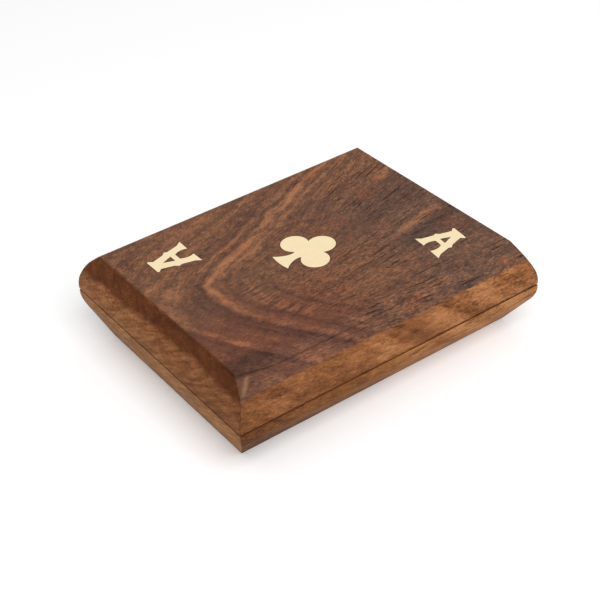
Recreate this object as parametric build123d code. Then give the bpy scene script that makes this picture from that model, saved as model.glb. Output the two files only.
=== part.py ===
from build123d import *
import os
from math import cos, radians, sin, tan

# A playing card box for two decks, side by side. The lid and the base are each carved from one board
# and hinged along the back. Origin: middle of the bottom face. X runs along the box, Y from the front
# to the hinged back, Z up. Millimetres and degrees.

# Decks and the wood round them
CARD_WIDTH = 63.5
CARD_LENGTH = 88.9
CARD_CLEARANCE = 0.35
DIVIDER_THICKNESS = 3.0
END_WALL = 6.8
SIDE_WALL = 15.2
FLOOR_THICKNESS = 8.5
WELL_DEPTH = 12.35
WELL_CORNER = 1.0
LID_RECESS = 7.0
LID_TOP_THICKNESS = 11.85
SEAM_GAP = 0.3

# Outer edges: straight up from the seam for the lip, over an arc (the roll) until the wood leans by the
# given angle from upright, then straight to a crease at the flat face
BASE_LIP = 1.0
LID_END_LIP = 1.0
LID_SIDE_LIP = 1.7
END_ROLL = 17.0
LID_END_LEAN = 24.5
BASE_END_LEAN = 23.0
LID_SIDE_ROLL = 17.0
LID_SIDE_LEAN = 49.8
BASE_SIDE_ROLL = 11.0
BASE_SIDE_LEAN = 38.4
LID_END_CREASE = 1.5
LID_SIDE_CREASE = 3.0
FOOT_EASE = 1.0
SEAM_EASE = 0.4

# Divider between the wells
GROOVE_DEPTH = 2.5
GROOVE_CLEARANCE = 0.1
DIVIDER_DROP = 0.6
FINGER_DIP_RADIUS = 14.0
FINGER_DIP_DEPTH = 7.5

# Butt hinges let into the back rims
HINGE_LENGTH = 25.0
HINGE_FROM_END = 18.0
HINGE_AXIS_OUT = 0.4
LEAF_WIDTH = 9.0
LEAF_THICKNESS = 0.9
LEAF_CORNER = 1.0
PIN_DIAMETER = 1.6
PIN_CLEARANCE = 0.05
KNUCKLES = 3
KNUCKLE_GAP = 0.2
BARREL_CLEARANCE = 0.35
MORTISE_CLEARANCE = 0.1

# Countersunk hinge screws
SCREW_HEAD = 3.4
SCREW_SHANK = 1.8
SCREW_LENGTH = 7.0
SCREW_TIP_ROOM = 0.4
SCREW_PITCH = 14.0
SCREW_SLOT_WIDTH = 0.5
SCREW_SLOT_DEPTH = 0.35
SCREW_CLEARANCE = 0.04

# Inlays let tight into the lid, flush with its top
INLAY_THICKNESS = 1.5
CLUB_LOBE = 5.8
CLUB_SIDE_LOBE_OUT = 7.1
CLUB_TOP_LOBE_UP = 8.3
CLUB_HEART = 4.4
CLUB_NECK_WIDTH = 4.0
CLUB_FOOT_WIDTH = 10.8
CLUB_FOOT_DOWN = 12.7
CLUB_FOOT_BULGE = 0.6
CLUB_X = -0.9
CLUB_Y = -2.7
LEFT_ACE_HEIGHT = 18.3
LEFT_ACE_SLANT = 0.0
LEFT_ACE_FROM_END = 18.7
LEFT_ACE_FROM_SIDE = 32.1
RIGHT_ACE_HEIGHT = 17.6
RIGHT_ACE_SLANT = -0.11
RIGHT_ACE_FROM_END = 17.9
RIGHT_ACE_FROM_SIDE = 27.2

# Sizes that follow
WELL_LENGTH = CARD_WIDTH + 2 * CARD_CLEARANCE
INNER_LENGTH = 2 * WELL_LENGTH + DIVIDER_THICKNESS
INNER_WIDTH = CARD_LENGTH + 2 * CARD_CLEARANCE
BOX_LENGTH = INNER_LENGTH + 2 * END_WALL
BOX_WIDTH = INNER_WIDTH + 2 * SIDE_WALL
BASE_HEIGHT = FLOOR_THICKNESS + WELL_DEPTH
LID_RIM = BASE_HEIGHT + SEAM_GAP
LID_HEIGHT = LID_RECESS + LID_TOP_THICKNESS
BOX_HEIGHT = LID_RIM + LID_HEIGHT
AXIS_Y = BOX_WIDTH / 2 + HINGE_AXIS_OUT
AXIS_Z = BASE_HEIGHT + SEAM_GAP / 2
BORE_RADIUS = PIN_DIAMETER / 2 + PIN_CLEARANCE
BARREL_RADIUS = BORE_RADIUS + LEAF_THICKNESS
HINGE_X = BOX_LENGTH / 2 - HINGE_FROM_END - HINGE_LENGTH / 2
SCREW_Y = AXIS_Y - (LEAF_WIDTH + BARREL_RADIUS) / 2
BASE, LID = -1, 1


def box_between(low, high):
    """A block from its lowest to its highest corner."""
    size = [b - a for a, b in zip(low, high)]
    return Pos(*low) * Box(*size, align=Align.MIN)


def edge_section(half_width, height, lip, roll, lean, crease):
    """Section of the lid or base, seam at the bottom: lip, roll, bevel, crease, flat face."""
    turn = radians(lean)
    roll_middle = (half_width - roll * (1 - cos(turn / 2)), lip + roll * sin(turn / 2))
    roll_end = (half_width - roll * (1 - cos(turn)), lip + roll * sin(turn))
    face_half = roll_end[0] - (height - roll_end[1]) * tan(turn)
    half = make_face([
        Polyline((0, height), (0, 0), (half_width, 0), (half_width, lip)),
        ThreePointArc((half_width, lip), roll_middle, roll_end),
        Polyline(roll_end, (face_half, height), (0, height)),
    ])
    section = half + mirror(half, about=Plane.YZ)
    return fillet(section.vertices().group_by(Axis.Y)[-1], crease)


def shaped_block(rim, facing, end_section, side_section):
    """A board whose four edges are worked along their whole length, so that they meet in mitred corners."""
    ends = Plane(origin=(0, 0, rim), x_dir=(1, 0, 0), z_dir=(0, -facing, 0)) * end_section
    sides = Plane(origin=(0, 0, rim), x_dir=(0, 1, 0), z_dir=(facing, 0, 0)) * side_section
    block = extrude(ends, BOX_WIDTH, both=True) & extrude(sides, BOX_LENGTH, both=True)
    rim_edges = block.faces().sort_by(Axis.Z)[-1 if facing == BASE else 0].edges()
    return fillet(rim_edges, SEAM_EASE)


def well_cut(bottom, top):
    """The routed hollow, the same in plan in the lid and in the base."""
    plan = RectangleRounded(INNER_LENGTH, INNER_WIDTH, WELL_CORNER)
    return Pos(0, 0, bottom) * extrude(plan, top - bottom)


def screw_form(grow=0.0, tip_room=0.0):
    """A countersunk head and a plain shank, head at the origin, shank upward."""
    head_depth = (SCREW_HEAD - SCREW_SHANK) / 2
    length = SCREW_LENGTH + tip_room
    half = make_face(Plane.XZ * Polyline(
        (0, 0),
        (SCREW_HEAD / 2 + grow, 0),
        (SCREW_SHANK / 2 + grow, head_depth),
        (SCREW_SHANK / 2 + grow, length),
        (0, length),
        close=True,
    ))
    return revolve(half, Axis.Z)


def driven_in(form, facing, x):
    """A screw or its hole, set from the inner face of a leaf into the base or the lid."""
    if facing == BASE:
        form = mirror(form, about=Plane.XY)
    return Pos(x, SCREW_Y, AXIS_Z + facing * (BARREL_RADIUS - LEAF_THICKNESS)) * form


def screw(facing, x):
    slot = Box(2 * SCREW_HEAD, SCREW_SLOT_WIDTH, 2 * SCREW_SLOT_DEPTH)
    return driven_in(screw_form() - slot, facing, x)


def screw_hole(facing, x):
    return driven_in(screw_form(SCREW_CLEARANCE, SCREW_TIP_ROOM), facing, x)


def screw_places(hinge_x):
    return [hinge_x - SCREW_PITCH / 2, hinge_x + SCREW_PITCH / 2]


def barrel(x_from, x_to, radius):
    """A cylinder on the hinge axis."""
    turned = Rot(0, 90, 0) * Cylinder(radius, x_to - x_from, align=(Align.CENTER, Align.CENTER, Align.MIN))
    return Pos(x_from, AXIS_Y, AXIS_Z) * turned


def hinge_leaf(facing, hinge_x):
    """A plate with its rolled knuckles; the base leaf has the outer ones, the lid leaf those between."""
    start = hinge_x - HINGE_LENGTH / 2
    step = HINGE_LENGTH / KNUCKLES
    plate_plan = Rectangle(HINGE_LENGTH, LEAF_WIDTH, align=(Align.CENTER, Align.MIN))
    plate_plan = fillet(plate_plan.vertices().group_by(Axis.Y)[0], LEAF_CORNER)
    outer_face = AXIS_Z + facing * BARREL_RADIUS
    leaf = Pos(hinge_x, AXIS_Y - LEAF_WIDTH, outer_face) * extrude(plate_plan, -facing * LEAF_THICKNESS)
    for number in range(KNUCKLES):
        left = start + number * step
        if (number % 2 == 0) == (facing == BASE):
            leaf += barrel(left + KNUCKLE_GAP / 2, left + step - KNUCKLE_GAP / 2, BARREL_RADIUS)
        else:
            reach = BARREL_RADIUS + KNUCKLE_GAP
            leaf -= box_between(
                (left - KNUCKLE_GAP / 2, AXIS_Y - reach, AXIS_Z - reach),
                (left + step + KNUCKLE_GAP / 2, AXIS_Y + reach, AXIS_Z + reach),
            )
    leaf -= barrel(start, start + HINGE_LENGTH, BORE_RADIUS)
    for x in screw_places(hinge_x):
        leaf -= screw_hole(facing, x)
    return leaf


def hinge_cut(facing, hinge_x):
    """What is cut from the lid or base for a hinge: mortise, room for the barrel, screw holes."""
    half_length = HINGE_LENGTH / 2 + MORTISE_CLEARANCE
    floor = AXIS_Z + facing * BARREL_RADIUS
    cut = box_between(
        (hinge_x - half_length, AXIS_Y - LEAF_WIDTH - MORTISE_CLEARANCE, min(floor, AXIS_Z)),
        (hinge_x + half_length, AXIS_Y, max(floor, AXIS_Z)),
    )
    cut += barrel(hinge_x - half_length, hinge_x + half_length, BARREL_RADIUS + BARREL_CLEARANCE)
    for x in screw_places(hinge_x):
        cut += screw_hole(facing, x)
    return cut


def club_outline():
    """A club, upright: three round lobes, a filled heart and a stem that flares to its foot."""
    lobes = [(CLUB_SIDE_LOBE_OUT, 0), (-CLUB_SIDE_LOBE_OUT, 0), (0, CLUB_TOP_LOBE_UP)]
    club = make_face(Polyline(*lobes, close=True)) + Circle(CLUB_HEART)
    for x, y in lobes:
        club += Pos(x, y) * Circle(CLUB_LOBE)
    neck, foot = CLUB_NECK_WIDTH / 2, CLUB_FOOT_WIDTH / 2
    neck_y, foot_y = -CLUB_LOBE, CLUB_FOOT_BULGE - CLUB_FOOT_DOWN
    flare_middle = ((neck + foot) / 2 - CLUB_FOOT_BULGE, (neck_y + foot_y) / 2)
    club += make_face([
        Polyline((neck, neck_y), (neck, 0), (-neck, 0), (-neck, neck_y)),
        ThreePointArc((-neck, neck_y), (-flare_middle[0], flare_middle[1]), (-foot, foot_y)),
        ThreePointArc((-foot, foot_y), (0, -CLUB_FOOT_DOWN), (foot, foot_y)),
        ThreePointArc((foot, foot_y), flare_middle, (neck, neck_y)),
    ])
    return club


def ace_outline(height, slant):
    """The ace index, upright on its baseline: a spurred slab letter, drawn in parts of its height."""
    def at(across, up):
        return (across * height, (up + slant * across) * height)

    right = [(0.475, 0.01), (0.38, 0.14), (0.304, 0.435), (0.335, 0.505), (0.258, 0.587),
             (0.171, 0.88), (0.245, 0.965), (0.225, 1.0)]
    serif, arch, bar_end = (0.13, 0.02), (0.163, 0.17), (0.103, 0.353)
    left = [(-across, up) for across, up in reversed(right)]
    outer = make_face([
        Polyline(at(*serif), *[at(*point) for point in right + left], at(-serif[0], serif[1])),
        ThreePointArc(at(-serif[0], serif[1]), at(-arch[0], arch[1]), at(-bar_end[0], bar_end[1])),
        Line(at(-bar_end[0], bar_end[1]), at(*bar_end)),
        ThreePointArc(at(*bar_end), at(*arch), at(*serif)),
    ])
    counter = make_face(Polyline(at(-0.103, 0.476), at(0.103, 0.476), at(0, 0.734), close=True))
    return outer - counter


def inlay_plans():
    """The three inlay outlines, in place on the lid: the club's top and the right ace's point to +X."""
    left_top = LEFT_ACE_FROM_END - BOX_LENGTH / 2
    right_top = BOX_LENGTH / 2 - RIGHT_ACE_FROM_END
    left_ace = Pos(left_top + LEFT_ACE_HEIGHT, BOX_WIDTH / 2 - LEFT_ACE_FROM_SIDE) * Rot(0, 0, 90)
    right_ace = Pos(right_top - RIGHT_ACE_HEIGHT, RIGHT_ACE_FROM_SIDE - BOX_WIDTH / 2) * Rot(0, 0, -90)
    return {
        "club_inlay": Pos(CLUB_X, CLUB_Y) * Rot(0, 0, -90) * club_outline(),
        "left_ace_inlay": left_ace * ace_outline(LEFT_ACE_HEIGHT, LEFT_ACE_SLANT),
        "right_ace_inlay": right_ace * ace_outline(RIGHT_ACE_HEIGHT, RIGHT_ACE_SLANT),
    }


def inlay_layer(plan):
    return Pos(0, 0, BOX_HEIGHT - INLAY_THICKNESS) * extrude(plan, INLAY_THICKNESS)


HINGES = {"left": -HINGE_X, "right": HINGE_X}
parts = {}

# Base: one board, hollowed for both decks, with a groove for the divider in each long wall
base = shaped_block(
    BASE_HEIGHT,
    BASE,
    edge_section(BOX_LENGTH / 2, BASE_HEIGHT, BASE_LIP, END_ROLL, BASE_END_LEAN, FOOT_EASE),
    edge_section(BOX_WIDTH / 2, BASE_HEIGHT, BASE_LIP, BASE_SIDE_ROLL, BASE_SIDE_LEAN, FOOT_EASE),
)
base -= well_cut(FLOOR_THICKNESS, BASE_HEIGHT)
groove_half = DIVIDER_THICKNESS / 2 + GROOVE_CLEARANCE
groove_end = INNER_WIDTH / 2 + GROOVE_DEPTH
base -= box_between(
    (-groove_half, -groove_end, FLOOR_THICKNESS),
    (groove_half, groove_end, BASE_HEIGHT),
)

# Divider: slid down the grooves on to the floor, with a dip for a finger to lift a deck
divider_end = groove_end - GROOVE_CLEARANCE
divider_top = BASE_HEIGHT - DIVIDER_DROP
divider = box_between(
    (-DIVIDER_THICKNESS / 2, -divider_end, FLOOR_THICKNESS),
    (DIVIDER_THICKNESS / 2, divider_end, divider_top),
)
dip = Rot(0, 90, 0) * Cylinder(FINGER_DIP_RADIUS, 2 * DIVIDER_THICKNESS)
parts["centre_divider"] = divider - Pos(0, 0, divider_top + FINGER_DIP_RADIUS - FINGER_DIP_DEPTH) * dip

# Lid: one board, hollowed a little so that the decks stand proud of the base
lid = shaped_block(
    LID_RIM,
    LID,
    edge_section(BOX_LENGTH / 2, LID_HEIGHT, LID_END_LIP, END_ROLL, LID_END_LEAN, LID_END_CREASE),
    edge_section(BOX_WIDTH / 2, LID_HEIGHT, LID_SIDE_LIP, LID_SIDE_ROLL, LID_SIDE_LEAN, LID_SIDE_CREASE),
)
lid -= well_cut(LID_RIM, LID_RIM + LID_RECESS)
for name, plan in inlay_plans().items():
    parts[name] = inlay_layer(plan)
    lid -= parts[name]

# Hinges, their pins and screws
base_screws = []
lid_screws = []
for side, hinge_x in HINGES.items():
    base -= hinge_cut(BASE, hinge_x)
    lid -= hinge_cut(LID, hinge_x)
    parts[f"{side}_hinge_base_leaf"] = hinge_leaf(BASE, hinge_x)
    parts[f"{side}_hinge_lid_leaf"] = hinge_leaf(LID, hinge_x)
    pin_half = HINGE_LENGTH / 2 - KNUCKLE_GAP / 2
    parts[f"{side}_hinge_pin"] = barrel(hinge_x - pin_half, hinge_x + pin_half, PIN_DIAMETER / 2)
    base_screws += [screw(BASE, x) for x in screw_places(hinge_x)]
    lid_screws += [screw(LID, x) for x in screw_places(hinge_x)]

parts["base_block"] = base
parts["lid_block"] = lid
parts["base_hinge_screws"] = Compound(children=base_screws)
parts["lid_hinge_screws"] = Compound(children=lid_screws)

os.makedirs("parts", exist_ok=True)
for name, shape in parts.items():
    export_step(shape, f"parts/{name}.step")
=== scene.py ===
from collections import namedtuple
from math import cos, radians, sin

import bpy
from mathutils import Matrix, Vector


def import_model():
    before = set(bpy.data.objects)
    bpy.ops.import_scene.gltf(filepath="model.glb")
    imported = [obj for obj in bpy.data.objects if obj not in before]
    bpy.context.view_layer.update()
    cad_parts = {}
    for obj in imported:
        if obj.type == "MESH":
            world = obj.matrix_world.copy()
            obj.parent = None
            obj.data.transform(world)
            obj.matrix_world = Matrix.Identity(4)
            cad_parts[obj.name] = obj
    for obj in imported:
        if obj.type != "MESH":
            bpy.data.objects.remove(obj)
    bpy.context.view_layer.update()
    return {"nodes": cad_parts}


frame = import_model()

# A playing card box in brown rosewood. The shapes are the frame's own solids; here they get their
# materials, and the studio round them. Metres, with X along the box, Y to the hinged back, Z up.
# Wood is figured in millimetres, in the solid, so that the grain runs on round every edge.
MM_PER_METRE = 1000.0
TOP_Z = 40.0
SEAM_Z = 21.0

# How the wood is described below. A pair that ends in X, Y, Z, RING, REACH or STEP is a smooth step:
# nothing at its first number, full at its second. A pair that ends in SHARE holds the share where a
# step is at nothing and where it is full. Tones run from 0, dark, to 1, light, and a LIFT is added to
# a tone, a SHADE taken from it. A pattern is a noise: its cells to the millimetre along three
# directions, octaves, how rough they are, and a seed. A line is a soft line in the figure: its
# middle, half its width and its strength. A patch is a part of the board: a step along X and along Y.
Pattern = namedtuple("Pattern", "cells octaves roughness seed")
Line = namedtuple("Line", "middle half_width strength")
Patch = namedtuple("Patch", "x y")
Alloy = namedtuple("Alloy", "name bright dull roughness scratched_along")

# Camera: place, direction and lens
CAMERA_PLACE = (-0.26305, -0.39277, 0.35554)
CAMERA_YAW = 56.504
CAMERA_PITCH = -35.826
CAMERA_ROLL = -4.116
CAMERA_LENS = 84.88
CAMERA_SENSOR = 36.0
CAMERA_CLIP = (0.01, 20.0)

# Light: the fill and the floor as shares of white, the lamp in watts and metres
WHITE = (1.0, 1.0, 1.0, 1.0)
WORLD_FILL = 0.62
FLOOR_COLOUR = (0.88, 0.88, 0.88)
FLOOR_ROUGHNESS = 0.9
FLOOR_LIFT_SHARE = (0.22, 0.45)
FLOOR_FAR_REACH = (500.0, 2000.0)
FLOOR_HALF = 4.0
KEY_WATTS = 7.5
KEY_SIZE = 0.8
KEY_PLACE = (-0.10, -0.70, 0.90)

# Rosewood colours, linear, from dark to light: the lid's dark heart on the left, on the right, in its
# redder patches and on the end grain, the lighter wood below it, and the base's own board. The heart's
# colours for the top and long sides hold a painted grey sheen; the base's end colours hold painted light
HEART_LEFT = ((0.046, 0.027, 0.022), (0.149, 0.071, 0.043), (0.390, 0.170, 0.079))
HEART_RIGHT = ((0.042, 0.028, 0.024), (0.126, 0.069, 0.048), (0.354, 0.158, 0.080))
HEART_RED = ((0.055, 0.023, 0.018), (0.177, 0.060, 0.035), (0.440, 0.146, 0.066))
HEART_END = ((0.036, 0.011, 0.004), (0.098, 0.028, 0.008), (0.254, 0.082, 0.025))
PALE = ((0.093, 0.033, 0.013), (0.237, 0.091, 0.034), (0.444, 0.197, 0.079))
BASE = ((0.089, 0.033, 0.013), (0.247, 0.096, 0.030), (0.473, 0.216, 0.084))
# The base's end colours are lighter than its sides: painted light on ends that lean in towards the floor
BASE_END_PAINTED_LIGHT = ((0.229, 0.102, 0.039), (0.518, 0.245, 0.095), (0.771, 0.415, 0.193))
TONE_STOPS = (0.02, 0.48, 0.98)

# Colours of dirt with painted shade in the seam, of pores, of worn arrises with painted shade, and of a
# rubbed spot
SEAM_DIRT_AND_SHADE = (0.040, 0.008, 0.001)
PORE = (0.020, 0.009, 0.006)
WORN_AND_SHADED = (0.075, 0.026, 0.011)
RUBBED = (0.250, 0.135, 0.072)

# Brass, linear; the last number is the axis that the sanding scratches follow
INLAY_BRASS = Alloy("inlay_brass", (0.95, 0.80, 0.52), (0.90, 0.73, 0.44), 0.32, 0)
HINGE_BRASS = Alloy("hinge_brass", (0.78, 0.56, 0.26), (0.55, 0.36, 0.14), 0.30, 0)
PIN_BRASS = Alloy("pin_brass", (0.70, 0.50, 0.24), (0.48, 0.32, 0.13), 0.26, 0)
SCREW_BRASS = Alloy("screw_brass", (0.74, 0.53, 0.25), (0.50, 0.34, 0.14), 0.28, 1)

# Noise comes out near 0.5; it is centred on 0 and spread to about -1 to 1
NOISE_MIDDLE = 0.5
NOISE_SPREAD = 3.0

# Sockets of the mixing node that carry colours
MIX_FIRST = 6
MIX_SECOND = 7
MIX_RESULT = 2

# Arrises are eased, and worn and darkened with painted shade, over this many metres; the painted shade
# also falls along inside corners. The steps tell a face's kind from its direction: the size of its part
# along X on an end, of its part along Z on a level face, and, on an arris, the cosine between the flat
# and the eased direction
EDGE_ROUND = 0.0010
EDGE_WEAR_AND_SHADE = 0.0010
EDGE_SAMPLES = 6
FACING_END_STEP = (0.35, 0.85)
FACING_UP_STEP = (0.90, 0.98)
ARRIS_STEP = (0.985, 0.86)


class Signal:
    """A number that a material works out at each point, so that its formulas read as formulas."""

    def __init__(self, tree, socket):
        self.tree = tree
        self.socket = socket

    def maths(self, operation, *others):
        node = self.tree.nodes.new("ShaderNodeMath")
        node.operation = operation
        for place, value in enumerate((self, *others)):
            connect(node.inputs[place], value)
        return Signal(self.tree, node.outputs[0])

    def __add__(self, other):
        return self.maths("ADD", other)

    def __sub__(self, other):
        return self.maths("SUBTRACT", other)

    def __rsub__(self, other):
        return self * -1.0 + other

    def __mul__(self, other):
        return self.maths("MULTIPLY", other)

    __radd__ = __add__
    __rmul__ = __mul__

    def root(self):
        return self.maths("SQRT")

    def size(self):
        return self.maths("ABSOLUTE")

    def at_least(self, low):
        return self.maths("MAXIMUM", low)

    def rises(self, low, high):
        """0 at low, 1 at high, with a smooth step between them; low may be the larger number."""
        node = self.tree.nodes.new("ShaderNodeMapRange")
        node.interpolation_type = "SMOOTHSTEP"
        connect(node.inputs["Value"], self)
        connect(node.inputs["From Min"], low)
        connect(node.inputs["From Max"], high)
        return Signal(self.tree, node.outputs["Result"])

    def within(self, first, second):
        """1 where two smooth steps are both full."""
        return self.rises(*first) * self.rises(*second)

    def between(self, at_nothing, at_full):
        """A share that goes from one number to another as this signal goes from 0 to 1."""
        return at_nothing + (at_full - at_nothing) * self

    def peak(self, middle, half_width):
        """1 at the middle value, 0 a half width away on either side."""
        return (self - middle).size().rises(half_width, 0.0)

    def lines(self, *lines):
        """Sum of soft lines, each with its strength."""
        total = 0.0
        for line in lines:
            total = line.strength * self.peak(line.middle, line.half_width) + total
        return total


def connect(socket, value):
    """Feeds a socket with a signal or sets it to a constant."""
    if isinstance(value, Signal):
        value.tree.links.new(value.socket, socket)
    else:
        socket.default_value = value


def position_mm(tree):
    """Place in the solid, in millimetres, as three signals."""
    place = tree.nodes.new("ShaderNodeTexCoord")
    parts = tree.nodes.new("ShaderNodeSeparateXYZ")
    tree.links.new(place.outputs["Object"], parts.inputs[0])
    return [Signal(tree, output) * MM_PER_METRE for output in parts.outputs]


def noise(pattern, *place):
    """Soft noise about 0, from about -1 to 1, at a place in millimetres."""
    tree = place[0].tree
    point = tree.nodes.new("ShaderNodeCombineXYZ")
    scaled = [part * cells for part, cells in zip(place, pattern.cells)]
    scaled[0] = scaled[0] + pattern.seed
    for socket, value in zip(point.inputs, scaled):
        connect(socket, value)
    node = tree.nodes.new("ShaderNodeTexNoise")
    node.inputs["Scale"].default_value = 1.0
    node.inputs["Detail"].default_value = pattern.octaves
    node.inputs["Roughness"].default_value = pattern.roughness
    tree.links.new(point.outputs[0], node.inputs["Vector"])
    return (Signal(tree, node.outputs[0]) - NOISE_MIDDLE) * NOISE_SPREAD


def patch_at(patch, x, y):
    """1 in the patch, 0 outside it."""
    return x.rises(*patch.x) * y.rises(*patch.y)


def distance(along, aside):
    return (along * along + aside * aside).root()


def ramp(value, *stops):
    """Colours along a signal: each stop is a place from 0 to 1 and its colour."""
    node = value.tree.nodes.new("ShaderNodeValToRGB")
    elements = node.color_ramp.elements
    while len(elements) < len(stops):
        elements.new(1.0)
    for element, (place, colour) in zip(elements, stops):
        element.position = place
        element.color = (*colour, 1.0)
    connect(node.inputs[0], value)
    return Signal(value.tree, node.outputs["Color"])


def shades(tone, colours):
    """Dark, middle and light colour of a wood, by tone."""
    return ramp(tone, *zip(TONE_STOPS, colours))


def mixed(share, first, second):
    """One colour or another, by share."""
    node = share.tree.nodes.new("ShaderNodeMix")
    node.data_type = "RGBA"
    connect(node.inputs["Factor"], share)
    for socket, colour in ((MIX_FIRST, first), (MIX_SECOND, second)):
        connect(node.inputs[socket], colour if isinstance(colour, Signal) else (*colour, 1.0))
    return Signal(share.tree, node.outputs[MIX_RESULT])


def eased_normal(tree, radius):
    """The surface's direction, as if its arrises were eased by a radius in metres."""
    node = tree.nodes.new("ShaderNodeBevel")
    node.samples = EDGE_SAMPLES
    node.inputs["Radius"].default_value = radius
    return node.outputs[0]


def flat_normal(tree):
    return tree.nodes.new("ShaderNodeNewGeometry").outputs["True Normal"]


def in_piece(tree, direction):
    """Sizes of a direction's three parts in the piece's own frame, which moves with it."""
    turn = tree.nodes.new("ShaderNodeVectorTransform")
    turn.vector_type = "NORMAL"
    turn.convert_from = "WORLD"
    turn.convert_to = "OBJECT"
    parts = tree.nodes.new("ShaderNodeSeparateXYZ")
    tree.links.new(direction, turn.inputs[0])
    tree.links.new(turn.outputs[0], parts.inputs[0])
    return [Signal(tree, output).size() for output in parts.outputs]


def facing(tree):
    """How far the surface faces along the box, eased over its arrises, and how level it lies."""
    along = in_piece(tree, eased_normal(tree, EDGE_ROUND))[0]
    upright = in_piece(tree, flat_normal(tree))[2]
    return along.rises(*FACING_END_STEP), upright.rises(*FACING_UP_STEP)


def edge_wear_and_shade(tree):
    """1 on an arris and along an inside corner, 0 where the wear and the painted shade end."""
    dot = tree.nodes.new("ShaderNodeVectorMath")
    dot.operation = "DOT_PRODUCT"
    tree.links.new(eased_normal(tree, EDGE_WEAR_AND_SHADE), dot.inputs[0])
    tree.links.new(flat_normal(tree), dot.inputs[1])
    return Signal(tree, dot.outputs["Value"]).rises(*ARRIS_STEP)


def new_material(name):
    material = bpy.data.materials.new(name)
    material.use_nodes = True
    return material, material.node_tree, material.node_tree.nodes["Principled BSDF"]


def set_bump(shader, height, depth, strength, round_edges=0.0):
    """Relief from a height signal; arrises can be shaded as if they were eased by a radius in metres."""
    tree = height.tree
    node = tree.nodes.new("ShaderNodeBump")
    node.inputs["Distance"].default_value = depth
    node.inputs["Strength"].default_value = strength
    connect(node.inputs["Height"], height)
    if round_edges:
        tree.links.new(eased_normal(tree, round_edges), node.inputs["Normal"])
    tree.links.new(node.outputs[0], shader.inputs["Normal"])


# Grain that fans out towards the back, from a level line near the front
GRAIN_LEVEL_Y = -40.0
GRAIN_FAN = 0.0065


def grain_across(x, y):
    """Distance across the grain."""
    fan = (x * -GRAIN_FAN).maths("EXPONENT")
    return (y - GRAIN_LEVEL_Y) * fan + GRAIN_LEVEL_Y


# Open grain: at the front in the middle, on the right, and in scattered patches
OPEN_PATTERN = Pattern((0.035, 0.06, 0.06), 3.0, 0.6, 5.0)
OPEN_SCATTER = 0.35
OPEN_MIDDLE = Patch((-24.0, -12.0), (-4.0, -16.0))
OPEN_RIGHT = Patch((22.0, 40.0), (54.0, 34.0))
OPEN_STEP = (0.15, 0.80)


def coarseness(x, y, z):
    """Where the grain is open, from 0 to 1."""
    placed = patch_at(OPEN_MIDDLE, x, y).at_least(patch_at(OPEN_RIGHT, x, y))
    return (OPEN_SCATTER * noise(OPEN_PATTERN, x, y, z) + placed).rises(*OPEN_STEP)


# Pores: dark vessel lines along the grain, which show as dots on the ends
LONG_PORES = Pattern((0.065, 1.05, 1.05), 2.0, 0.5, 11.0)
LONG_PORE_STEP = (0.26, 0.52)
SHORT_PORES = Pattern((0.20, 1.5, 1.5), 1.0, 0.5, 47.0)
SHORT_PORE_STEP = (0.40, 0.70)
SHORT_PORE_SHARE = (0.60, 1.0)


def pores(x, across, z, coarse):
    """Long and short pores."""
    long_lines = noise(LONG_PORES, x, across, z).rises(*LONG_PORE_STEP)
    short_lines = noise(SHORT_PORES, x, across, z).rises(*SHORT_PORE_STEP)
    return long_lines * coarse, short_lines * coarse.between(*SHORT_PORE_SHARE)


# Fibres along the grain, broken up by a grit, with a silk of the finest ones, and blotches
FIBRES = Pattern((0.24, 1.3, 1.3), 2.0, 0.7, 17.0)
FIBRE_PART = 0.28
GRIT = Pattern((0.8, 1.1, 1.1), 3.0, 0.75, 59.0)
GRIT_PART = 0.38
SILK = Pattern((0.5, 2.4, 2.4), 1.0, 0.5, 73.0)
SILK_SHARE = (0.34, 0.74)
SILKIER_X = (30.0, -50.0)
MOTTLE = Pattern((0.24, 0.30, 0.30), 3.0, 0.65, 41.0)


def fibres(x, across, z):
    """Fine light and dark fibres."""
    silk = x.rises(*SILKIER_X).between(*SILK_SHARE) * noise(SILK, x, across, z)
    return FIBRE_PART * noise(FIBRES, x, across, z) + GRIT_PART * noise(GRIT, x, across, z) + silk


# Satin varnish: roughness, cloudy and higher in the pores, and their depth in metres
SHEEN_PATTERN = Pattern((0.05, 0.12, 0.12), 2.0, 0.5, 83.0)
WOOD_ROUGHNESS = 0.62
SHEEN_ROUGHNESS = 0.06
PORE_ROUGHNESS = 0.10
WOOD_SPECULAR = 0.05
PORE_DEPTH = 0.00012
PORE_BUMP = 0.5
SHORT_PORE_DEPTH = 0.6


def wood_shader(shader, colour, x, y, z, long_pores, short_pores):
    """Satin varnish over the wood, with open pores."""
    connect(shader.inputs["Base Color"], colour)
    sheen = SHEEN_ROUGHNESS * noise(SHEEN_PATTERN, x, y, z)
    connect(shader.inputs["Roughness"], WOOD_ROUGHNESS + sheen + PORE_ROUGHNESS * long_pores)
    shader.inputs["Specular IOR Level"].default_value = WOOD_SPECULAR
    height = -1.0 * (long_pores + SHORT_PORE_DEPTH * short_pores)
    set_bump(shader, height, PORE_DEPTH, PORE_BUMP, EDGE_ROUND)


# Nested arches round a point on the left of the lid, each with a bowed front limb and a straight back
# limb; the limbs draw together at the back, and below the top the arches go on into the wood
ARCH_TIP = (-44.5, -3.75)
ARCH_BOW = 0.0094
ARCH_BACK_SLOPE = 2.05
ARCH_BACK_FROM = 8.0
ARCH_BACK_ROUND = 4.0
ARCH_NARROWS_STEP = (0.0, 14.0)
ARCH_WIDTH_SHARE = (1.0, 0.5)
ARCH_DIP = 0.7


def arch_distance(x, y, z):
    """Distance outwards from the main arch."""
    up = y - ARCH_TIP[1]
    bow = (up * -1.0).at_least(0.0)
    back = up - ARCH_BACK_FROM
    back_reach = 0.5 * (back + (back * back + ARCH_BACK_ROUND ** 2).root())
    ring = ARCH_TIP[0] + ARCH_BOW * bow * bow + ARCH_BACK_SLOPE * back_reach - x
    return ring * up.rises(*ARCH_NARROWS_STEP).between(*ARCH_WIDTH_SHARE) + ARCH_DIP * (TOP_Z - z)


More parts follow.
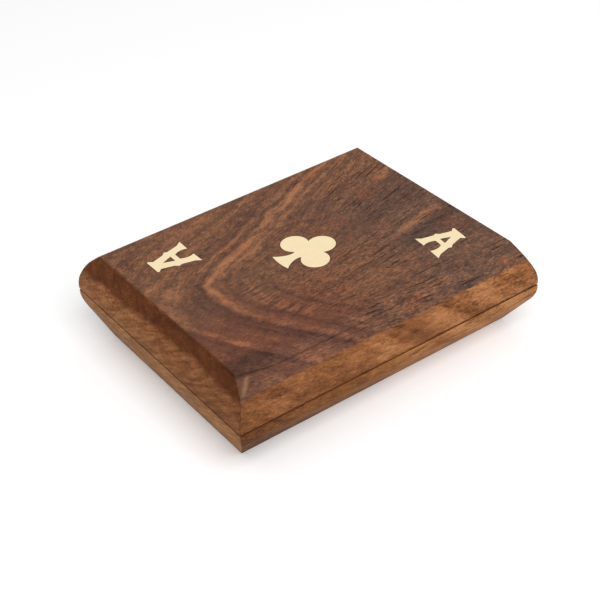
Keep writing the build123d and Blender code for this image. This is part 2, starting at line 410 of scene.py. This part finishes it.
# Tones of the arches, as lines at distances from the main one: orange lines, broken by a noise, dark
# lines, bands and streaks along them, and short strokes inside them
ARCH_BACK_Y = (2.0, 16.0)
ARCH_CALM_Y = (-14.0, -30.0)
ARCH_CALM_SHADE = 0.05
ARCH_BANDS = Pattern((0.18, 0.04, 0.02), 4.0, 0.65, 3.0)
ARCH_BAND_SHARE = (0.20, 0.14)
ARCH_STREAKS = Pattern((0.75, 0.07, 0.1), 3.0, 0.65, 23.0)
ARCH_STREAK_SHARE = (0.10, 0.23)
ARCH_STREAKS_FADE_RING = (8.0, 24.0)
ARCH_STREAKS_FADE_SHARE = (1.0, 0.45)
ARCH_BREAKS = Pattern((0.22, 0.15, 0.05), 3.0, 0.6, 31.0)
ARCH_BREAK_STEP = (-0.5, 0.5)
ARCH_ORANGE_SHARE = (0.10, 1.15)
MAIN_ARCH = (Line(0.0, 3.2, 0.38), Line(-4.6, 1.5, 0.12))
MAIN_ARCH_Y = (-36.0, -8.0)
MAIN_ARCH_SHARE = (0.35, 0.95)
MAIN_ARCH_BEND = Line(8.0, 8.0, 0.35)
MAIN_ARCH_BORDERS = (Line(7.0, 4.0, 0.16), Line(-5.5, 3.5, 0.14))
BACK_ARCHES = (Line(6.8, 2.4, 0.26), Line(-6.0, 2.6, 0.18), Line(1.0, 5.5, 0.22))
OUTER_ARCH = Line(19.5, 2.8, 1.0)
OUTER_ARCH_Y = (-18.0, -32.0)
OUTER_ARCH_SHARE = (0.14, 0.34)
INNER_ARCH = Line(-18.5, 2.2, 0.24)
DARK_ARCHES = (Line(23.5, 2.5, 0.12), Line(3.6, 2.2, 0.20))
STROKES = Pattern((0.07, 0.75, 0.1), 2.0, 0.6, 67.0)
STROKE_LEAN = 0.18
STROKED = Line(-11.0, 8.0, 0.55)
STROKED_FROM_Y = (-44.0, -34.0)
STROKED_TO_Y = (0.0, -8.0)


def arch_lights(ring, y, back, broken):
    """The orange arches: the main one, more of them and a glow behind the bend, and the outer one."""
    main = y.rises(*MAIN_ARCH_Y).between(*MAIN_ARCH_SHARE) + y.lines(MAIN_ARCH_BEND)
    outer = y.rises(*OUTER_ARCH_Y).between(*OUTER_ARCH_SHARE) * ring.lines(OUTER_ARCH)
    orange = main * ring.lines(*MAIN_ARCH) + outer + back * ring.lines(*BACK_ARCHES)
    return orange * broken.between(*ARCH_ORANGE_SHARE)


def arch_darks(ring, back, broken):
    """The dark lines between the arches."""
    inner = broken * ring.lines(INNER_ARCH)
    return ring.lines(*DARK_ARCHES) + inner + (1.0 - back) * ring.lines(*MAIN_ARCH_BORDERS)


def arch_tone(ring, y, z):
    """Lightness of the nested arches: bands and streaks along them, and short strokes inside."""
    back = y.rises(*ARCH_BACK_Y)
    calm = y.rises(*ARCH_CALM_Y)
    broken = noise(ARCH_BREAKS, ring, y, z).rises(*ARCH_BREAK_STEP)
    bands = calm.between(*ARCH_BAND_SHARE) * noise(ARCH_BANDS, ring, y, z)
    fading = ring.rises(*ARCH_STREAKS_FADE_RING).between(*ARCH_STREAKS_FADE_SHARE)
    streaks = back.between(*ARCH_STREAK_SHARE) * fading * noise(ARCH_STREAKS, ring, y, z)
    stroked = ring.lines(STROKED) * y.within(STROKED_FROM_Y, STROKED_TO_Y)
    strokes = stroked * noise(STROKES, ring, y + STROKE_LEAN * ring, z)
    marks = arch_lights(ring, y, back, broken) - arch_darks(ring, back, broken)
    return bands + streaks + strokes + marks - ARCH_CALM_SHADE * calm


# Grain beside the arches: broad and hair-like streaks along the fan, most at the back, and a light
# band, a light corner and a dark band that lie aslant on the right
FLOW_BROAD = Pattern((0.014, 0.15, 0.05), 3.0, 0.6, 7.0)
FLOW_BROAD_PART = 0.22
FLOW_HAIR = Pattern((0.026, 0.60, 0.3), 3.0, 0.65, 29.0)
FLOW_HAIR_SHARE = (0.12, 0.38)
FLOW_SLANT = 0.30
FLOW_SHADE = 0.05
HAIRY = Patch((58.0, 34.0), (-4.0, 12.0))
HAIRY_LIFT = 0.12
LIGHT_BAND = Line(-27.5, 4.0, 0.34)
LIGHT_BAND_FROM_X = (30.0, 40.0)
LIGHT_BAND_TO_X = (64.0, 54.0)
LIGHT_CORNER = Line(7.0, 6.0, 0.34)
LIGHT_CORNER_X = (50.0, 60.0)
DARK_BAND = Line(-36.0, 8.0, 0.16)
DARK_BAND_X = (24.0, 44.0)
FLOW_MIDDLE = Patch((36.0, 20.0), (-4.0, -18.0))
FLOW_MIDDLE_LIFT = 0.05


def flow_tone(x, y, across, z):
    """Lightness of the grain beside the arches."""
    deep = across + (TOP_Z - z)
    slant = y - FLOW_SLANT * x
    hairy = patch_at(HAIRY, x, slant)
    streaks = FLOW_BROAD_PART * noise(FLOW_BROAD, x, deep, z)
    streaks = streaks + hairy.between(*FLOW_HAIR_SHARE) * noise(FLOW_HAIR, x, deep, z)
    light = slant.lines(LIGHT_BAND) * x.within(LIGHT_BAND_FROM_X, LIGHT_BAND_TO_X)
    light = light + slant.lines(LIGHT_CORNER) * x.rises(*LIGHT_CORNER_X)
    dark = slant.lines(DARK_BAND) * x.rises(*DARK_BAND_X)
    lifts = HAIRY_LIFT * hairy + FLOW_MIDDLE_LIFT * patch_at(FLOW_MIDDLE, x, y)
    return streaks + light - dark + lifts - FLOW_SHADE


# The figure wanders: millimetres that two noises, a slow and a quick one, move it by
WANDER = Pattern((0.035, 0.035, 0.035), 2.0, 0.5, 61.0)
WAVER = Pattern((0.16, 0.16, 0.16), 3.0, 0.6, 71.0)
X_SHIFTS = (2.6, 1.0)
Y_SHIFTS = (-2.2, 1.2)
ACROSS_SHIFTS = (1.6, 0.8)
ARCHES_RING = (-32.0, -20.0)


def heart_figure(x, y, across, z):
    """Lightness of the heartwood's figure, and the distance from its main arch."""
    wander = noise(WANDER, x, y, z)
    waver = noise(WAVER, x, y, z)
    x_moved, y_moved, across_moved = [
        part + slow * wander + quick * waver
        for part, (slow, quick) in zip((x, y, across), (X_SHIFTS, Y_SHIFTS, ACROSS_SHIFTS))
    ]
    ring = arch_distance(x_moved, y_moved, z)
    flow = flow_tone(x, y_moved, across_moved, z)
    arches = ring.rises(*ARCHES_RING)
    return flow + arches * (arch_tone(ring, y_moved, z) - flow), ring


# Fine texture of the heartwood: less of it in a smooth part outside the arches
HEART_FIBRES = 0.56
HEART_FIBRES_OPEN = 0.16
HEART_FIBRES_SMOOTH = -0.20
HEART_MOTTLE_SHARE = (0.25, 0.14)
SMOOTH_RING = (-24.0, -10.0)
SMOOTH_Y = (8.0, -12.0)


def heart_texture(x, y, across, z, coarse, ring):
    smooth = ring.rises(*SMOOTH_RING) * y.rises(*SMOOTH_Y)
    strength = HEART_FIBRES + HEART_FIBRES_OPEN * coarse + HEART_FIBRES_SMOOTH * smooth
    blotches = smooth.between(*HEART_MOTTLE_SHARE) * noise(MOTTLE, x, y, z)
    return strength * fibres(x, across, z) + blotches


# Marks on the lid: clouds outside the arches, a light burr by the left ace, a dark near corner that
# is long along the front
CLOUDS = Pattern((0.085, 0.085, 0.085), 2.0, 0.55, 101.0)
CLOUDY_RING = (-2.0, 8.0)
CLOUD_PART = 0.16
BURR_PLACE = (-57.0, 6.5)
BURR_REACH = (8.0, 1.0)
BURR_LIFT = 0.22
CORNER_PLACE = (-60.0, -47.5)
CORNER_LONG = 0.35
CORNER_REACH = (8.0, 1.5)
CORNER_SHADE = 0.30


def heart_marks(x, y, z, ring):
    clouds = noise(CLOUDS, x, y, z) * ring.rises(*CLOUDY_RING)
    burr = distance(x - BURR_PLACE[0], y - BURR_PLACE[1]).rises(*BURR_REACH)
    corner = distance(CORNER_LONG * (x - CORNER_PLACE[0]), y - CORNER_PLACE[1]).rises(*CORNER_REACH)
    return CLOUD_PART * clouds + BURR_LIFT * burr - CORNER_SHADE * corner


# Colours of the heartwood, with a painted grey sheen: greyer on the right, greyer at the front with more
# painted sheen, redder in patches and at the near left
HEART_TONE = 0.525
FRONT_Y = (-46.0, -50.0)
GREYER = Patch((8.0, 42.0), (30.0, 10.0))
FRONT_SHEEN = 0.5
RED_PATTERN = Pattern((0.06, 0.08, 0.08), 5.0, 0.7, 97.0)
RED_STEP = (0.0, 0.9)
RED_PART = 0.85
RED_CORNER = Patch((15.0, -20.0), (-8.0, -30.0))
RED_CORNER_SHARE = (0.60, 0.35)
RED_CORNER_SHADE = 0.10


def heart_face(x, y, z, tone):
    """Colour of the heartwood on the top and the long sides, with a painted grey sheen in it."""
    front = y.rises(*FRONT_Y)
    # Greyer at the front: painted sheen
    greyer = patch_at(GREYER, x, y).at_least(FRONT_SHEEN * front)
    colour = mixed(greyer, shades(tone, HEART_LEFT), shades(tone, HEART_RIGHT))
    red_patches = noise(RED_PATTERN, x, y, z).rises(*RED_STEP)
    red_corner = front.between(*RED_CORNER_SHARE) * patch_at(RED_CORNER, x, y)
    redder = (RED_PART * red_patches).at_least(red_corner)
    return mixed(redder, colour, shades(tone - RED_CORNER_SHADE * red_corner, HEART_RED))


# End grain of the heartwood: calmer figure, blotches, a little lighter towards the back
END_TONE = 0.50
END_FIGURE = 0.6
END_TEXTURE = 0.85
END_BLOTCHES = Pattern((0.10, 0.11, 0.16), 3.0, 0.6, 103.0)
END_BLOTCH_PART = 0.20
END_BACK_Y = (-20.0, 40.0)
END_BACK_LIFT = 0.07


def heart_colour(x, y, across, z, coarse, at_end):
    """Dark figured heartwood, deeper on the end grain."""
    figure, ring = heart_figure(x, y, across, z)
    texture = heart_texture(x, y, across, z, coarse, ring)
    face = heart_face(x, y, z, HEART_TONE + figure + texture + heart_marks(x, y, z, ring))
    end_marks = END_BLOTCH_PART * noise(END_BLOTCHES, x, y, z) + END_BACK_LIFT * y.rises(*END_BACK_Y)
    end_tone = END_TONE + END_FIGURE * figure + END_TEXTURE * texture + end_marks
    return mixed(at_end, face, shades(end_tone, HEART_END))


# Paler wood: flames and wisps that lean along the sides, placed light and dark flames, and on the
# ends curls, turned by the given cosine and sine, and crinkles towards the back
PALE_TONE = 0.49
PALE_LEAN = 1.3
FLAMES = Pattern((0.06, 0.05, 0.05), 3.0, 0.6, 19.0)
FLAME_RISE = 0.3
FLAME_PART = 0.34
WISPS = Pattern((0.20, 0.26, 0.42), 3.0, 0.6, 37.0)
WISP_RISE = 0.25
WISP_PART = 0.36
PLACED_FLAMES = (
    Line(32.0, 9.0, 0.20), Line(56.0, 9.0, 0.20), Line(82.0, 9.0, 0.20),
    Line(44.0, 7.0, -0.20), Line(67.5, 6.5, -0.20),
)
CURLS = Pattern((0.20, 0.10, 0.70), 3.0, 0.6, 43.0)
CURL_COSINE = 0.90
CURL_SINE = 0.44
CRINKLES = Pattern((0.30, 1.0, 1.0), 3.0, 0.65, 89.0)
CRINKLED_Y = (-20.0, 35.0)
END_FLAME_PART = 0.24
END_CURL_PART = 0.46
END_WISP_PART = 0.10
END_CRINKLE_PART = 0.36
PALE_FIBRE_SHARE = (0.34, 0.96)
PALE_COARSER_X = (10.0, 44.0)


def pale_tone(x, y, across, z, at_end, vigour):
    """Lightness of the paler wood."""
    lean = x + PALE_LEAN * z
    flames = noise(FLAMES, lean, y, z - FLAME_RISE * x)
    wisps = noise(WISPS, lean, y, z - WISP_RISE * y)
    curl_along = CURL_COSINE * y - CURL_SINE * z
    curl_across = CURL_SINE * y + CURL_COSINE * z
    curls = noise(CURLS, x, curl_along, curl_across)
    crinkles = noise(CRINKLES, x, y, z) * y.rises(*CRINKLED_Y)
    side = FLAME_PART * flames + WISP_PART * wisps + lean.lines(*PLACED_FLAMES)
    end = END_FLAME_PART * flames + END_CURL_PART * curls + END_WISP_PART * wisps
    end = end + END_CRINKLE_PART * crinkles
    fine = x.rises(*PALE_COARSER_X).between(*PALE_FIBRE_SHARE) * fibres(x, across, z)
    return PALE_TONE + vigour * (side + at_end * (end - side)) + fine


# Dirt and painted shade along the outside of the seam, most on the right in front, least on the ends
SEAM_DARKER_X = (-30.0, 25.0)
SEAM_DARK_SHARE = (0.55, 1.0)
SEAM_DARK_END_SHARE = (1.0, 0.45)
SEAM_DARK_REACH = (0.50, 0.35)


# Dirt with painted shade: a dark band on the wood just beside the seam
def seam_dirt_and_shade(x, z, at_end, level):
    amount = x.rises(*SEAM_DARKER_X).between(*SEAM_DARK_SHARE)
    amount = amount * at_end.between(*SEAM_DARK_END_SHARE) * (1.0 - level)
    return amount * (z - SEAM_Z).size().rises(*SEAM_DARK_REACH)


# Where the dark heart ends: its height at the front, its fall towards the back, and its wavy edge,
# softer on the ends
HEART_FRONT_Z = 32.8
HEART_FALL = 0.05
HEART_EDGE = Pattern((0.07, 0.10, 0.05), 4.0, 0.65, 53.0)
HEART_EDGE_SHARE = (0.8, 1.6)
HEART_SOFT_SHARE = (0.45, 1.70)


def heart_share(y, z, edge, at_end):
    """1 in the dark heart, 0 in the paler wood below it."""
    bottom = HEART_FRONT_Z - HEART_FALL * y.at_least(0.0) + at_end.between(*HEART_EDGE_SHARE) * edge
    softness = at_end.between(*HEART_SOFT_SHARE)
    return (z - bottom).rises(-1.0 * softness, softness)


# A dark growth line along the front of the lid, thicker at the near corner, where it bends up
GROWTH_LINE_Z = 37.45
GROWTH_LINE_HALF = 0.30
GROWTH_LINE_FADES_X = (30.0, -5.0)
GROWTH_LINE_THICKER_X = (-50.0, -64.0)
GROWTH_LINE_THICK_SHARE = (1.0, 2.8)
GROWTH_LINE_BENDS_X = -50.0
GROWTH_LINE_BEND = 0.10
GROWTH_LINE_Y = (-40.0, -46.0)
GROWTH_LINE_PART = 0.55


def growth_line(x, y, z):
    rise = GROWTH_LINE_BEND * (GROWTH_LINE_BENDS_X - x).at_least(0.0)
    thickness = GROWTH_LINE_HALF * x.rises(*GROWTH_LINE_THICKER_X).between(*GROWTH_LINE_THICK_SHARE)
    line = (z - rise).peak(GROWTH_LINE_Z, thickness)
    return GROWTH_LINE_PART * line * y.rises(*GROWTH_LINE_Y) * x.rises(*GROWTH_LINE_FADES_X)


# A rubbed spot on the front of the lid beside its near corner: where its slanting middle line meets
# the table's level, its slant, half width, heights, and how far it is broken up
RUBBED_X = -107.15
RUBBED_SLANT = 1.175
RUBBED_HALF = 1.9
RUBBED_WAVE = 0.7
RUBBED_FROM_Z = (33.4, 34.4)
RUBBED_TO_Z = (38.6, 37.4)
RUBBED_Y = (-44.0, -47.0)
RUBBED_PART = 0.70
RUBBED_BROKEN = 0.60


def rubbed_spot(x, y, z, edge):
    spot = (x - RUBBED_SLANT * z + RUBBED_WAVE * edge).peak(RUBBED_X, RUBBED_HALF)
    spot = spot * y.rises(*RUBBED_Y) * z.within(RUBBED_FROM_Z, RUBBED_TO_Z)
    return (RUBBED_PART + RUBBED_BROKEN * noise(MOTTLE, x, y, z)) * spot


# The lid's paler wood is lighter to the right, to the back, and on the ends, where the lift is painted
# light
PALE_RIGHT_X = (-80.0, 75.0)
PALE_RIGHT_LIFT = 0.26
PALE_BACK_Y = (-55.0, 30.0)
PALE_BACK_LIFT = 0.14
PALE_SHADE = 0.14
PALE_END_PAINTED_LIGHT_LIFT = 0.05
LID_VIGOUR = 1.0
LID_LONG_PORE_SHARE = (0.25, 0.65)
LID_SHORT_PORES = 0.35
LID_WEAR_AND_SHADE = 0.5


def lid_wood():
    """The lid's board: dark heart on top, paler wood below, marks, pores, wear and dirt over them, with
    painted shade on the arrises and in the seam.
    """
    material, tree, shader = new_material("rosewood_lid")
    x, y, z = position_mm(tree)
    across = grain_across(x, y)
    coarse = coarseness(x, y, z)
    long_pores, short_pores = pores(x, across, z, coarse)
    edge = noise(HEART_EDGE, x, y, z)
    at_end, level = facing(tree)
    heart = heart_share(y, z, edge, at_end)
    lighter = PALE_RIGHT_LIFT * x.rises(*PALE_RIGHT_X) + PALE_BACK_LIFT * y.rises(*PALE_BACK_Y)
    # The lift on the ends is painted light
    lighter = lighter + PALE_END_PAINTED_LIGHT_LIFT * at_end - PALE_SHADE
    pale = shades(pale_tone(x, y, across, z, at_end, LID_VIGOUR) + lighter, PALE)
    colour = mixed(heart, pale, heart_colour(x, y, across, z, coarse, at_end))
    colour = mixed(growth_line(x, y, z), colour, PORE)
    colour = mixed(rubbed_spot(x, y, z, edge), colour, RUBBED)
    colour = mixed(heart.between(*LID_LONG_PORE_SHARE) * long_pores, colour, PORE)
    colour = mixed(LID_SHORT_PORES * short_pores, colour, PORE)
    # Worn arrises, with painted shade on them and along inside corners
    colour = mixed(LID_WEAR_AND_SHADE * edge_wear_and_shade(tree), colour, WORN_AND_SHADED)
    # Dirt and painted shade along the seam
    colour = mixed(seam_dirt_and_shade(x, z, at_end, level), colour, SEAM_DIRT_AND_SHADE)
    wood_shader(shader, colour, x, y, z, long_pores, short_pores)
    return material


# The base's board is calmer, and lighter to the right along its sides; its ends take lighter colours,
# painted light for ends that lean in towards the floor
BASE_VIGOUR = 0.7
BASE_SHADE = 0.35
BASE_RIGHT_X = (-80.0, 45.0)
BASE_RIGHT_LIFT = 0.60
BASE_FAR_RIGHT_X = (30.0, 60.0)
BASE_FAR_RIGHT_LIFT = 0.05
BASE_LONG_PORES = 0.5
BASE_SHORT_PORES = 0.3
BASE_WEAR_AND_SHADE = 0.4
DIVIDER_SHIFT = 230.0


def base_wood(name, shift):
    """The base's board; the shift, in millimetres, picks another stretch of the same timber."""
    material, tree, shader = new_material(name)
    x, y, z = position_mm(tree)
    x_board, y_board = x + shift, y + shift
    across = grain_across(x_board, y_board)
    long_pores, short_pores = pores(x_board, across, z, coarseness(x_board, y_board, z))
    at_end, level = facing(tree)
    lighter = BASE_RIGHT_LIFT * x.rises(*BASE_RIGHT_X) + BASE_FAR_RIGHT_LIFT * x.rises(*BASE_FAR_RIGHT_X)
    figure = pale_tone(x_board, y_board, across, z, at_end, BASE_VIGOUR)
    tone = figure + lighter * (1.0 - at_end) - BASE_SHADE
    # Lighter colours on the ends: painted light
    colour = mixed(at_end, shades(tone, BASE), shades(tone, BASE_END_PAINTED_LIGHT))
    colour = mixed(BASE_LONG_PORES * long_pores, colour, PORE)
    colour = mixed(BASE_SHORT_PORES * short_pores, colour, PORE)
    # Worn arrises, with painted shade on them and along inside corners
    colour = mixed(BASE_WEAR_AND_SHADE * edge_wear_and_shade(tree), colour, WORN_AND_SHADED)
    # Dirt and painted shade along the seam
    colour = mixed(seam_dirt_and_shade(x, z, at_end, level), colour, SEAM_DIRT_AND_SHADE)
    wood_shader(shader, colour, x, y, z, long_pores, short_pores)
    return material


# Worked brass: cloudy colour, and sanding scratches that are long along one axis
BRASS_CLOUDS = Pattern((0.25, 0.25, 0.25), 3.0, 0.6, 3.0)
BRASS_CLOUD_SHARE = (0.5, 0.8)
BRASS_STOPS = (0.1, 0.8)
BRASS_CLOUD_ROUGHNESS = 0.04
SCRATCHES = Pattern((8.0, 8.0, 8.0), 2.0, 0.6, 9.0)
SCRATCH_CELLS_ALONG = 0.25
SCRATCH_ROUGHNESS = 0.05
SCRATCH_DEPTH = 0.00003
SCRATCH_BUMP = 0.35


def brass(alloy):
    material, tree, shader = new_material(alloy.name)
    place = position_mm(tree)
    cloud = noise(BRASS_CLOUDS, *place)
    cells = list(SCRATCHES.cells)
    cells[alloy.scratched_along] = SCRATCH_CELLS_ALONG
    scratches = noise(SCRATCHES._replace(cells=cells), *place)
    tone = cloud.between(*BRASS_CLOUD_SHARE)
    connect(shader.inputs["Base Color"], ramp(tone, *zip(BRASS_STOPS, (alloy.dull, alloy.bright))))
    unevenness = BRASS_CLOUD_ROUGHNESS * cloud + SCRATCH_ROUGHNESS * scratches
    connect(shader.inputs["Roughness"], alloy.roughness + unevenness)
    shader.inputs["Metallic"].default_value = 1.0
    set_bump(shader, scratches, SCRATCH_DEPTH, SCRATCH_BUMP)
    return material


def dress(material, *nodes):
    """Gives CAD nodes their material."""
    for name in nodes:
        mesh = frame["nodes"][name].data
        mesh.materials.clear()
        mesh.materials.append(material)


def background_rays(tree):
    """1 for what the camera sees directly, in a mirror or through glass; 0 for what lights the box."""
    path = tree.nodes.new("ShaderNodeLightPath")
    seen = Signal(tree, path.outputs["Is Camera Ray"])
    for ray in ("Is Glossy Ray", "Is Transmission Ray"):
        seen = seen.at_least(Signal(tree, path.outputs[ray]))
    return seen


def floor():
    """A plain pale floor that keeps the shadow; far off, where less light falls, it looks white too."""
    mesh = bpy.data.meshes.new("floor")
    corners = [(-1, -1), (1, -1), (1, 1), (-1, 1)]
    mesh.from_pydata([(FLOOR_HALF * x, FLOOR_HALF * y, 0.0) for x, y in corners], [], [(0, 1, 2, 3)])
    ground = bpy.data.objects.new("floor", mesh)
    bpy.context.scene.collection.objects.link(ground)
    material, tree, shader = new_material("floor_paper")
    shader.inputs["Base Color"].default_value = (*FLOOR_COLOUR, 1.0)
    shader.inputs["Roughness"].default_value = FLOOR_ROUGHNESS
    shader.inputs["Specular IOR Level"].default_value = 0.0
    shader.inputs["Emission Color"].default_value = WHITE
    x, y, z = position_mm(tree)
    lift = distance(x, y).rises(*FLOOR_FAR_REACH).between(*FLOOR_LIFT_SHARE)
    connect(shader.inputs["Emission Strength"], background_rays(tree) * lift)
    mesh.materials.append(material)


def world():
    """Even fill light; the camera and shiny surfaces see it as white."""
    sky = bpy.data.worlds.new("studio")
    sky.use_nodes = True
    tree = sky.node_tree
    connect(tree.nodes["Background"].inputs["Strength"], background_rays(tree).between(WORLD_FILL, 1.0))
    tree.nodes["Background"].inputs["Color"].default_value = WHITE
    bpy.context.scene.world = sky


def key_light():
    """A soft square lamp, high up in front; brass mirrors the white studio and not the lamp itself."""
    lamp = bpy.data.lights.new("key", "AREA")
    lamp.energy = KEY_WATTS
    lamp.size = KEY_SIZE
    key = bpy.data.objects.new("key", lamp)
    key.location = KEY_PLACE
    key.rotation_euler = (-Vector(KEY_PLACE)).to_track_quat("-Z", "Y").to_euler()
    key.visible_glossy = False
    bpy.context.scene.collection.objects.link(key)


def camera():
    yaw, pitch, roll = radians(CAMERA_YAW), radians(CAMERA_PITCH), radians(CAMERA_ROLL)
    ahead = Vector((cos(pitch) * cos(yaw), cos(pitch) * sin(yaw), sin(pitch)))
    level = ahead.cross(Vector((0.0, 0.0, 1.0))).normalized()
    upright = level.cross(ahead)
    right = cos(roll) * level + sin(roll) * upright
    up = cos(roll) * upright - sin(roll) * level
    lens = bpy.data.cameras.new("camera")
    lens.lens = CAMERA_LENS
    lens.sensor_width = CAMERA_SENSOR
    lens.clip_start, lens.clip_end = CAMERA_CLIP
    eye = bpy.data.objects.new("camera", lens)
    turn = Matrix((right, up, -ahead)).transposed().to_4x4()
    eye.matrix_world = Matrix.Translation(CAMERA_PLACE) @ turn
    bpy.context.scene.collection.objects.link(eye)
    bpy.context.scene.camera = eye


HINGES = ("left_hinge", "right_hinge")
LEAVES = [f"{hinge}_{leaf}" for hinge in HINGES for leaf in ("base_leaf", "lid_leaf")]
PINS = [f"{hinge}_pin" for hinge in HINGES]
dress(lid_wood(), "lid_block")
dress(base_wood("rosewood_base", 0.0), "base_block")
dress(base_wood("rosewood_divider", DIVIDER_SHIFT), "centre_divider")
dress(brass(INLAY_BRASS), "club_inlay", "left_ace_inlay", "right_ace_inlay")
dress(brass(HINGE_BRASS), *LEAVES)
dress(brass(PIN_BRASS), *PINS)
dress(brass(SCREW_BRASS), "base_hinge_screws", "lid_hinge_screws")
floor()
world()
key_light()
camera()
bpy.context.scene.view_settings.view_transform = "Standard"
